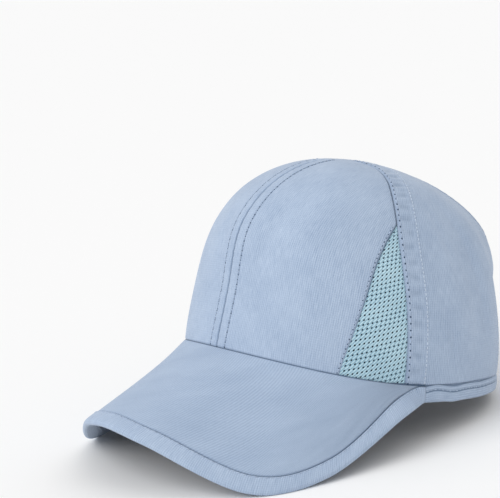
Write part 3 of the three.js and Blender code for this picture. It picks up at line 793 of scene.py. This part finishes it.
edge_plan = closing_edge()
edge_rise = arc_share(edge_plan[:, 1])
edge_turn = back_turn(edge_plan[:, 0], edge_rise)
edge_line = smooth_crown(edge_turn, edge_rise)
edge_run = run_lengths(edge_line, 0)
hem_from = np.searchsorted(edge_plan[:, 1], TAB_END_HEIGHT)
hem_to = np.searchsorted(edge_plan[:, 1], OPENING_TOP - 0.01)
row_runs = np.arange(0, edge_run[-1], BACK_STEP)
back_rises = np.interp(row_runs, edge_run, edge_rise)
back_edge = np.interp(row_runs, edge_run, edge_turn)
spread = np.concatenate([[True], np.diff(back_rises) > 0.0009])
back_rises, back_edge = back_rises[spread], back_edge[spread]
back_across = crowded(BACK_COLUMNS, 0.35)


def on_gore(plan, inset, hand):
    """A line set in from the closing edge by a distance, with its outward directions."""
    rise = arc_share(plan[:, 1])
    turn = back_turn(plan[:, 0], rise)
    line = smooth_crown(turn, rise)
    out = crown_normal(turn, rise)
    moved = line + unit(np.cross(np.gradient(line, axis=0), out)) * inset
    return gore_line(moved[:, 0], moved[:, 2], hand)


back_runs, side_runs, pale_runs = [], [], []
for hand, side in ((1, "left"), (-1, "right")):
    rise = np.broadcast_to(back_rises[:, None], (len(back_rises), len(back_across)))
    seam = side_seam_turn(np.clip(rise, 0, 1))
    turn = -seam + (back_edge[:, None] + seam) * back_across
    lying = smooth_crown(turn, rise)
    from_seam = run_lengths(lying, 1)
    run = run_lengths(lying[:, :1], 0)
    from_foot = np.maximum(run - 0.6, 0)
    to_hem, hem_run = nearest(lying, edge_line[hem_from:hem_to])
    to_seam, back_run = nearest(lying, edge_line[hem_to:])
    to_end, _ = nearest(lying, edge_line[:hem_from])
    calm = 1 - smoothstep(rise, *RELIEF_END)
    to_back = smoothstep(from_seam, 50, 100)
    depth = rolled(from_seam, 0.7, 0.5) + rolled(from_foot, 0.9, 0.6) * (1 - 0.5 * to_back)
    depth += rolled(to_seam, 0.5, 0.5)
    depth += stitched(from_seam, run, SIDE_STITCH, 0.2) + stitched(from_seam, run, SIDE_WELT, 0.25)
    depth += welt(from_seam, SIDE_WELT, 0.25) + pucker(from_seam, run, SIDE_WELT, 0.2)
    gathers = np.clip(ripple(run * 3.1, from_seam, 4.2), 0, 1) * smoothstep(from_seam, 1, 4)
    gathers = gathers * (1 - smoothstep(from_seam, 8, 12))
    depth += 0.5 * gathers
    depth += stitched(to_seam, back_run, BACK_WELT, 0.22) + welt(to_seam, BACK_WELT, 0.25)
    depth += 0.1 * ripple(from_seam, run, 8) * smoothstep(from_seam, 12, 20) * smoothstep(to_hem, 8, 14)
    depth = depth * calm
    depth += rolled(to_hem, 0.7, 0.55) + rolled(to_end, 0.7, 0.55)
    depth += stitched(to_hem, hem_run, HEM_STITCH, 0.34) + pucker(to_hem, hem_run, HEM_STITCH, 0.07)
    depth -= 0.42 * (1 - smoothstep(to_hem, HEM_STITCH - 0.3, HEM_STITCH + 0.5))
    turn = -hand * turn
    sunk = gore_depth(turn, rise, hand)
    outer = crown_at(turn, rise, depth + sunk)
    inner = crown_at(turn, rise, CLOTH_THICKNESS + sunk)
    # Painted shade in the side seam, the rim seam (less towards the back), the centre seam, past the
    # hem's stitches and in the gathers
    shade = rolled(from_seam, 0.35, 0.4) + rolled(from_foot, 0.9, 0.5) * (1 - 0.75 * to_back)
    shade += rolled(to_seam, 0.4, 0.4) + rolled(to_hem - HEM_STITCH - 0.4, 0.5, 0.5)
    shade += 0.2 * gathers ** 2
    cloth = np.stack([hand * from_seam, np.broadcast_to(run, rise.shape)], -1)
    name = "back_panel_" + side
    gore = closed_sheet(name + "_cloth", outer, inner, [crown_cloth, inner_cloth], cloth, shade, hand)
    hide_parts(name)
    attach(gore, "root")
    seam_rises = np.linspace(0.004, 0.93, 150)
    beside = besides(side_seam_turn(seam_rises), seam_rises, SIDE_STITCH)
    side_runs.append(crown_run(hand * beside, seam_rises, -SIDE_STITCH_LIFT))
    seam_rises = np.linspace(0.004, 0.85, 150)
    beside = besides(side_seam_turn(seam_rises), seam_rises, SIDE_WELT)
    pale_runs.append(crown_run(hand * beside, seam_rises, -PALE_STITCH_LIFT))
    back_runs.append(on_gore(edge_plan[hem_from + 6:hem_to:3], HEM_STITCH, hand))
    centre_rises = np.linspace(arc_share(OPENING_TOP + 1.5), 0.95, 60)
    beside = besides(180 + 0 * centre_rises, centre_rises, -BACK_WELT)
    back_runs.append(crown_run(hand * beside, centre_rises))
back_topstitch = stitches("back_topstitch", back_runs, thread)
back_holes = needle_hole_shade_beads("back_needle_holes", back_runs)
side_holes = needle_hole_shade_beads("side_needle_holes", side_runs, SIDE_STITCH_PITCH, SIDE_HOLE)
side_stitch = stitches("side_seam_stitch", side_runs, thread, SIDE_STITCH_PITCH, SIDE_STITCH_LENGTH)
pale_thread = woven("pale_thread", (188, 204, 224), (214, 224, 238), (120, 140, 166),
                    across=0.6, pitch=0.5)
side_topstitch = stitches("side_topstitch", pale_runs, pale_thread, *PALE_STITCH)
for made in (back_topstitch, back_holes, side_holes, side_stitch, side_topstitch):
    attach(made, "root")

# Box stitching and label of the closure
# A box of stitches holds the fastening to the back of the right tab. A bare ribbon label is
# folded over and caught in the end of that tab.

BOX_LEFT = 29.5
BOX_RIGHT = -20
BOX_FOOT = 3
BOX_TOP = 18
BOX_DIVIDER = 17
LABEL_START = 31.7
LABEL_WIDTH = 11.5
LABEL_FOOT = 1.5
LABEL_TOP = 25
LABEL_FOLD = 3.2
LABEL_CORNER = 3
LABEL_THICKNESS = 0.45
LABEL_DEPTH = 0.9


def back_run(corners, count):
    """A line between corners seen from behind, laid on the right gore."""
    corners = np.array(corners, float)
    run = run_lengths(corners, 0)
    at = np.linspace(0, run[-1], count)
    return gore_line(np.interp(at, run, corners[:, 0]), np.interp(at, run, corners[:, 1]), -1)


box_corners = [(BOX_LEFT, BOX_FOOT), (BOX_LEFT, BOX_TOP), (BOX_RIGHT, BOX_TOP), (BOX_RIGHT, BOX_FOOT)]
box_runs = [back_run([box_corners[k - 1], box_corners[k]], 60) for k in range(4)]
box_runs.append(back_run([(BOX_DIVIDER, BOX_FOOT), (BOX_DIVIDER, BOX_TOP)], 30))
box_stitch = stitches("closure_box_stitch", box_runs, thread)
box_holes = needle_hole_shade_beads("closure_needle_holes", box_runs)

label_ribbon = woven("label_ribbon", (226, 226, 230), (240, 240, 242), (176, 180, 188),
                     pitch=0.6, relief=0.00005)
across, up = np.meshgrid(np.linspace(0, 1, 30), np.linspace(0, 1, 64))
height = LABEL_FOOT + up * (LABEL_TOP - LABEL_FOOT)
corner = np.clip((LABEL_FOOT + LABEL_CORNER - height) / LABEL_CORNER, 0, 1)
cut_back = LABEL_CORNER * (1 - np.sqrt(1 - corner ** 2))
label_x = LABEL_START + across * (LABEL_WIDTH - cut_back)
rise = arc_share(height)
turn = back_turn(label_x, rise)
folded = smoothstep(height, LABEL_TOP - LABEL_FOLD - 0.3, LABEL_TOP - LABEL_FOLD + 0.3)
depth = LABEL_DEPTH - 0.35 * folded - 0.5 * across ** 2 * (1 - up) + 0.12 * np.sin(up * 9) * across
outer = crown_at(turn, rise, depth)
inner = crown_at(turn, rise, depth + LABEL_THICKNESS)
cloth = np.stack([label_x, height], -1)
# The folded-over top of the label gets painted shade
label = closed_sheet("label_ribbon_tab", outer, inner, [label_ribbon] * 2, cloth, 0.35 * folded)
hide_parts("label_tab")
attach(label, "root")
for made in (box_stitch, box_holes):
    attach(made, "root")

# Hook and loop fastening
# A patch of brushed nylon hooks and loops lies between the two tabs and holds them
# together. The cloth hides it, and it keeps the plain shape of its solid.

hook_nylon = woven("hook_nylon", (128, 140, 156), (150, 160, 174), (80, 90, 104),
                   pitch=1.6, relief=0.0003)
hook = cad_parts["hook_patch"]
hook.data.materials.clear()
hook.data.materials.append(hook_nylon)

# Rim binding
# A folded strip of the crown's cloth closes the rim at the sides and the back. It is sewn
# to the gores along its top, turned under, and stitched again a few millimetres below.

BAND_HEIGHT = 9.2
BAND_THICKNESS = 2.2
BAND_BULGE = 0.5
BAND_CORNER = 6
BAND_STITCH = 2.9
# The waves of the binding behind the peak: their size, their length and how far they go on
BAND_WAVE = 0.9
BAND_WAVE_LENGTH = 27
BAND_WAVE_REACH = 30
BAND_COLUMNS = 330
BAND_ROUND = 46
PEAK_ROOT_TURN = 82

# Round the binding's section: down as a share of its height, in as a share of its thickness
BAND_SECTION = {
    "step": [0, 1, 2, 3, 4, 5, 6, 7, 8],
    "down": [-0.04, 0.06, 0.45, 0.86, 0.985, 0.985, 0.86, 0.4, 0.0],
    "in": [0.5, 0.0, -0.2, -0.1, 0.22, 0.75, 1, 1, 1],
}


def band_edge_turn():
    """The turn at which the end of a tab stands."""
    return back_turn(np.array(TAB_REACH), arc_share(np.array(0.0)))


def tube_faces(rows, columns):
    """The faces of a closed tube made of rows of points round it, with both its ends."""
    index = np.arange(rows * columns).reshape(rows, columns)
    wrap = np.roll(index, -1, 1)
    faces = np.stack([index[:-1], wrap[:-1], wrap[1:], index[1:]], -1).reshape(-1, 4).tolist()
    return faces + [index[0, ::-1].tolist(), index[-1].tolist()]


def rim_band(name, hand):
    """One half of the binding, from the end of the peak to the end of its tab."""
    section = np.linspace(0, 8, BAND_ROUND)
    down = along(BAND_SECTION, "down", section)
    inward = along(BAND_SECTION, "in", section)
    first = besides(np.array(float(PEAK_ROOT_TURN)), 0, 0.2)
    across = crowded(BAND_COLUMNS, 0.2)
    turn = -first + (band_edge_turn() + first) * across
    seam = smooth_crown(turn, 0)
    out = unit(crown_normal(turn, 0) * np.array([1, 1, 0]))
    run = run_lengths(seam, 0)
    left = run[-1] - run
    corner = np.clip((BAND_CORNER - left) / BAND_CORNER, 0, 1)
    height = BAND_HEIGHT - BAND_CORNER * (1 - np.sqrt(np.maximum(1 - corner ** 2, 0)))
    z = -down[None] * height[:, None]
    wave = BAND_WAVE * np.sin(2 * np.pi * run / BAND_WAVE_LENGTH - 0.3)
    wave = wave * bell(run, BAND_WAVE_REACH)
    depth = inward[None] * BAND_THICKNESS + 0 * z
    face = 1 - smoothstep(inward, 0.0, 0.5)
    pull = (0.7 + 0.3 * np.cos(2 * np.pi * run / STITCH_PITCH))[:, None]
    dip = 0.3 * bell(-z - BAND_STITCH, 0.55) * pull
    gather = 0.1 * np.sin(2 * np.pi * run / (2.1 * STITCH_PITCH) + np.sin(run / 11))[:, None]
    depth += (dip + gather * bell(-z - BAND_STITCH, 2.4)) * face
    depth += rolled(left, 0.5, 0.6)[:, None] * (1 - 2 * inward[None])
    lap = 0
    if hand > 0:
        seam, out = seam * [-1, 1, 1], out * [-1, 1, 1]
        lap = (LAP_DEPTH * lap_share(seam))[:, None]
    points = seam[:, None] - out[:, None] * (depth + lap)[..., None]
    points[..., 2] = z + wave[:, None] * face
    faces = tube_faces(*z.shape)
    if hand < 0:
        faces = [face[::-1] for face in faces]
    # Painted shade in the groove at the rim seam and along the stitch line, fading towards the back
    to_back = smoothstep(run, 50, 100)[:, None]
    shade = rolled(np.abs(z), 0.9, 0.4) * face * (1 - 0.75 * to_back)
    shade += (1 - 0.6 * to_back) * bell(-z - BAND_STITCH - 0.2, 0.45) * face
    around = run_lengths(points, 1)
    cloth = np.stack([around.ravel(), np.repeat(run, z.shape[1])], -1)
    # The face of the section, from the seam down past the stitches, halfway along the strip
    middle, front = len(z) // 2, slice(0, 20)
    sunk = lap if hand > 0 else np.interp(BAND_STITCH, -z[middle, front], depth[middle, front])
    line = seam - out * sunk
    line[:, 2] = -BAND_STITCH + wave
    return piece(name, points.reshape(-1, 3), faces, [crown_cloth], cloth, shade.ravel()), (line, out)


band_runs = []
for hand, side in ((1, "left"), (-1, "right")):
    name = "rim_band_" + side
    band, line = rim_band(name + "_cloth", hand)
    band_runs.append(line)
    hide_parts(name)
    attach(band, "root")
band_topstitch = stitches("rim_topstitch", band_runs, thread)
band_holes = needle_hole_shade_beads("rim_needle_holes", band_runs)
for made in (band_topstitch, band_holes):
    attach(made, "root")

# Sweatband
# A dark band of soft cloth is sewn to the rim inside the front and the sides, with its
# upper edge turned and stitched.

SWEATBAND_HEIGHT = 29
SWEATBAND_THICKNESS = 1.4
SWEATBAND_TURN = 118
SWEATBAND_GAP = 0.6
SWEATBAND_STITCH = 4
SWEATBAND_COLUMNS = 300
SWEATBAND_ROWS = 34


def rise_at(turn, height):
    """The rise at a height above the rim seam's lowest part."""
    foot = arc_share(rim_height(turn))
    return (arc_share(height) - foot) / (1 - foot)


across, up = np.meshgrid(np.linspace(0, 1, SWEATBAND_COLUMNS), crowded(SWEATBAND_ROWS, 0.5))
turn = SWEATBAND_TURN * (2 * across - 1)
rise = rise_at(turn, rim_height(turn) - 0.6 + up * (SWEATBAND_HEIGHT + 1))
run = run_lengths(smooth_crown(turn, rise), 1)
low = up * SWEATBAND_HEIGHT
seam_lines = rolled(low - SWEATBAND_HEIGHT + SWEATBAND_STITCH, 0.25, 0.6)
rounded = 0.6 * (bell(SWEATBAND_HEIGHT - low, 0.7) + bell(low, 0.7))
crease = 0.25 * ripple(run, low, 9)
near = CLOTH_THICKNESS + SWEATBAND_GAP
outer = crown_at(turn, rise, near + 0.3 + crease * 0.3)
inner = crown_at(turn, rise, near + SWEATBAND_THICKNESS - rounded * 0.6 - seam_lines + crease)
sweat_cloth = woven("sweatband_cloth", (96, 104, 122), (118, 126, 144), (44, 50, 64),
                    pitch=0.9, sheen=0.2)
cloth = np.stack([run, low], -1)
sweatband = closed_sheet("sweatband_cloth_band", outer, inner, [sweat_cloth] * 2, cloth, 0 * low)
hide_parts("sweatband")
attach(sweatband, "root")
stitch_turns = np.linspace(-SWEATBAND_TURN + 1, SWEATBAND_TURN - 1, 240)
rise = rise_at(stitch_turns, rim_height(stitch_turns) + SWEATBAND_HEIGHT - SWEATBAND_STITCH)
line = crown_at(stitch_turns, rise, 0 * rise + near + SWEATBAND_THICKNESS - 0.1)
sweat_thread = woven("sweatband_thread", (84, 92, 108), (104, 112, 128), (40, 46, 58), pitch=0.5)
sweat_stitch = stitches("sweatband_stitch", [(line, -crown_normal(stitch_turns, rise))], sweat_thread)
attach(sweat_stitch, "root")

# Peak
# A stiff board is covered in close woven cloth above and dark cloth below. It springs from
# the front of the rim and droops to both sides, so that its rulings stay straight.

PEAK_RUN = 150.5
PEAK_HALF_WIDTH = 96.8
PEAK_DROP = 50.3
PEAK_THICKNESS = 2
PEAK_LAYER_GAP = 0.3
PEAK_BINDING_WIDTH = 10
BINDING_THINNING = 0.7
PEAK_FULL = 3.45
PEAK_COLUMNS = 330
PEAK_ROWS = 84
PEAK_ROOT_TUCK = 1.2
PEAK_EDGE_STEPS = 2000

PEAK_EDGE = {
    "side": [0, 0.316, 0.823, 0.996, 1],
    "out": [1, 0.961, 0.741, 0.477, 0.143],
    "down": [0.533, 0.628, 1, 0.841, 0.27],
}
root_end = smooth_crown(PEAK_ROOT_TURN, 0.0)


def peak_edge_points(hand):
    side, out, down = (np.array(column, float) for column in PEAK_EDGE.values())
    x, y, z = hand * side * PEAK_HALF_WIDTH, root_end[1] - out * PEAK_RUN, -down * PEAK_DROP
    points = np.stack([x, y, z], -1)
    return [*points, np.array([hand * (root_end[0] + BAND_BULGE), root_end[1], -BAND_HEIGHT])]


peak_edge = curve_through([*peak_edge_points(-1)[::-1], *peak_edge_points(1)[1:]], PEAK_EDGE_STEPS + 1)


def peak_ruling(aside):
    """The root and the outer end of the peak's straight lines, at shares from -1 to 1."""
    edge = picked(peak_edge, np.arange(PEAK_EDGE_STEPS + 1), (aside + 1) / 2 * PEAK_EDGE_STEPS)
    return smooth_crown(aside * PEAK_ROOT_TURN, 0.0), edge


peak_aside = np.linspace(0, 1, PEAK_COLUMNS) * 2 - 1
peak_root, peak_end = peak_ruling(peak_aside)
peak_out = peak_end - peak_root
peak_length = np.linalg.norm(peak_out, axis=-1)
peak_out = unit(peak_out)
binding_start = np.maximum(peak_length - PEAK_BINDING_WIDTH, 0.3)


def peak_at(distance, depth):
    """Points at distances from the root and depths below the peak's upper face, one row of
    points for each ruling."""
    place = peak_root[:, None] + peak_out[:, None] * distance[..., None]
    sideways = np.gradient(place, axis=0)
    normal = unit(np.cross(np.broadcast_to(peak_out[:, None], sideways.shape), sideways))
    return place - normal * depth[..., None], normal


def binding_thickness():
    share = smoothstep(np.abs(peak_aside), BINDING_THINNING, 1)
    return PEAK_FULL + (BAND_THICKNESS - PEAK_FULL) * share


peak_cloth = woven("peak_cloth", (142, 162, 190), (186, 203, 225), (66, 92, 122),
                   across=1.1, up=1.1, pitch=1.2, streak=0.3)
shares = crowded(PEAK_ROWS, 0.35)[None]
distance = -PEAK_ROOT_TUCK + shares * (binding_start[:, None] + PEAK_ROOT_TUCK)
run = run_lengths(peak_at(distance, 0 * distance)[0], 0)
to_binding = binding_start[:, None] - distance
calm = smoothstep(binding_start, 3, 12)[:, None]
depth = rolled(to_binding, 0.8, 0.7) + 0.5 * (1 - smoothstep(distance, -0.8, 0.4))
depth += 0.1 * ripple(run, distance, 13) * smoothstep(distance, 3, 12)
top, _ = peak_at(distance, depth * calm + 0.05)
below, _ = peak_at(distance, 0 * depth + PEAK_THICKNESS)
# Painted shade along the edge of the binding and at the root of the peak
shade = rolled(to_binding, 0.7, 0.45) + 0.9 * (1 - smoothstep(distance, 0, 0.5))
cloth = np.stack([run * 0.7 + distance * 0.7, distance * 0.7 - run * 0.7], -1)
peak = closed_sheet("peak_cover", top, below, [peak_cloth, peak_cloth], cloth, shade, -1)
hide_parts("peak")
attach(peak, "root")

underside_cloth = woven("underside_cloth", (30, 37, 52), (42, 50, 68), (20, 24, 34), across=0.9, up=0.9)
above, _ = peak_at(distance, 0 * depth + PEAK_THICKNESS + PEAK_LAYER_GAP)
under_depth = PEAK_FULL - 0.05 - rolled(to_binding, 0.6, 0.7)
under, _ = peak_at(distance, under_depth)
# The lower cover gets half the painted shade of the upper one
underside = closed_sheet("peak_lower_cover", under, above, [underside_cloth] * 2, cloth, shade * 0.5)
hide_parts("peak_underside")
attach(underside, "root")

# Peak binding
# A strip of the crown's cloth is folded round the edge of the peak and stitched through all
# its layers along its inner edge.

# Round the strip's section: reach as a share of its width, down as a share of its thickness
BINDING_SECTION = {
    "step": [0, 1, 2, 3, 4, 5, 6, 7, 8, 9],
    "reach": [0.0, 0.05, 0.4, 0.8, 0.95, 1.0, 0.95, 0.8, 0.3, 0.0],
    "down": [0.3, -0.06, -0.12, -0.06, 0.16, 0.5, 0.84, 1.04, 1.08, 0.9],
}
BINDING_STITCH = 0.9
PEAK_STITCH_LIFT = 0.22
# The pitch, the length and the thread's radius of the binding's stitches
PEAK_STITCH = (3.0, 2.5, 0.28)
PEAK_HOLE = 0.34
BINDING_ROUND = 54

section = np.linspace(0, 9, BINDING_ROUND)
reach = along(BINDING_SECTION, "reach", section)[None]
down = along(BINDING_SECTION, "down", section)[None]
width = peak_length - binding_start
distance = binding_start[:, None] + reach * width[:, None]
depth = down * binding_thickness()[:, None]
run = run_lengths(peak_end, 0)[:, None]
upper = 1 - smoothstep(down, 0.1, 0.5)
gather = np.sin(2 * np.pi * run / (2 * STITCH_PITCH) + np.sin(run / 8))
depth = depth + 0.1 * gather * upper * (1 - reach)
strip, _ = peak_at(distance, depth)
faces = [face[::-1] for face in tube_faces(*depth.shape)]
cloth = np.stack([np.broadcast_to(run, depth.shape).ravel(), run_lengths(strip, 1).ravel()], -1)
# Painted shade along the binding's inner edge on its upper face
shade = (rolled(reach * width[:, None], 0.6, 0.4) * upper).ravel()
binding = piece("peak_binding_strip", strip.reshape(-1, 3), faces, [crown_cloth], cloth, shade)
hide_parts("peak_binding")
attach(binding, "root")

line_at = (binding_start + BINDING_STITCH)[:, None]
stitch_line, stitch_out = peak_at(line_at, 0 * line_at - PEAK_STITCH_LIFT)
whole = peak_length > PEAK_BINDING_WIDTH + 1
peak_runs = [(stitch_line[whole, 0], stitch_out[whole, 0])]
line_below, out_below = peak_at(line_at, 0 * line_at + PEAK_FULL + 0.3)
peak_runs.append((line_below[whole, 0], -out_below[whole, 0]))
peak_stitch = stitches("peak_topstitch", peak_runs, thread, *PEAK_STITCH)
peak_holes = needle_hole_shade_beads("peak_needle_holes", peak_runs[:1], PEAK_STITCH[0], PEAK_HOLE)
for made in (peak_stitch, peak_holes):
    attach(made, "root")

# Table, light and camera
# The cap lies on a plain pale table that runs on past the picture, under two wide soft
# lights and the glow of a pale room, and is seen from ahead and to its left.

TABLE_HALF = 30
TABLE_GAP = 0.0002
CAMERA_TURN = np.radians(50.3)
CAMERA_RISE = np.radians(5)
CAMERA_ROLL = np.radians(3.38)
CAMERA_DISTANCE = 987
CAMERA_TARGET = np.array([0, 0, 50])
FOCAL_LENGTH = 120.14
AIM = np.array([-0.0609, 0.0174, -1])

table_top = bpy.data.meshes.new("table_top")
corners = [(-1, -1), (1, -1), (1, 1), (-1, 1)]
points = [(TABLE_HALF * x, TABLE_HALF * y, -TABLE_GAP) for x, y in corners]
table_top.from_pydata(points, [], [(0, 1, 2, 3)])
table_paint = bpy.data.materials.new("table_paint")
table_paint.use_nodes = True
table_look = {"Base Color": (0.95, 0.95, 0.95, 1), "Roughness": 0.9, "Specular IOR Level": 0.1}
feed(table_paint.node_tree.nodes["Principled BSDF"], table_look)
table_top.materials.append(table_paint)
table = bpy.data.objects.new("table_top", table_top)
bpy.context.scene.collection.objects.link(table)


def soft_light(name, toward, power):
    """A wide soft light from a far side of the room."""
    lamp = bpy.data.lights.new(name, "SUN")
    lamp.angle = np.radians(50)
    lamp.energy = power
    light = bpy.data.objects.new(name, lamp)
    light.rotation_euler = Vector(toward).to_track_quat("Z", "Y").to_euler()
    bpy.context.scene.collection.objects.link(light)


soft_light("window_light", (-0.12, -0.74, 0.65), 1.25)
soft_light("ceiling_light", (0.2, 0.3, 1), 0.25)
world = bpy.data.worlds.new("pale_room")
world.use_nodes = True
feed(world.node_tree.nodes["Background"], {"Color": (1, 1, 1, 1), "Strength": 0.68})
bpy.context.scene.world = world
bpy.context.scene.view_settings.view_transform = "Standard"

away = np.array([
    np.sin(CAMERA_TURN) * np.cos(CAMERA_RISE),
    -np.cos(CAMERA_TURN) * np.cos(CAMERA_RISE),
    np.sin(CAMERA_RISE),
])
level = np.array([np.cos(CAMERA_TURN), np.sin(CAMERA_TURN), 0])
above = np.cross(away, level)
right = level * np.cos(CAMERA_ROLL) + above * np.sin(CAMERA_ROLL)
upward = above * np.cos(CAMERA_ROLL) - level * np.sin(CAMERA_ROLL)
eye = CAMERA_TARGET + away * CAMERA_DISTANCE
ahead = unit(AIM[0] * right + AIM[1] * upward + AIM[2] * away)
upward = unit(upward - ahead * (upward @ ahead))
turned = np.stack([np.cross(ahead, upward), upward, -ahead], 1)
tilt = np.array(Matrix.Rotation(-REST_TILT, 3, "X"))
place = Matrix((tilt @ turned).tolist()).to_4x4()
place.translation = Vector(at_rest(eye[None])[0])
lens = bpy.data.cameras.new("camera")
lens.lens = FOCAL_LENGTH
lens.clip_end = 100
camera = bpy.data.objects.new("camera", lens)
camera.matrix_world = place
bpy.context.scene.collection.objects.link(camera)
bpy.context.scene.camera = camera
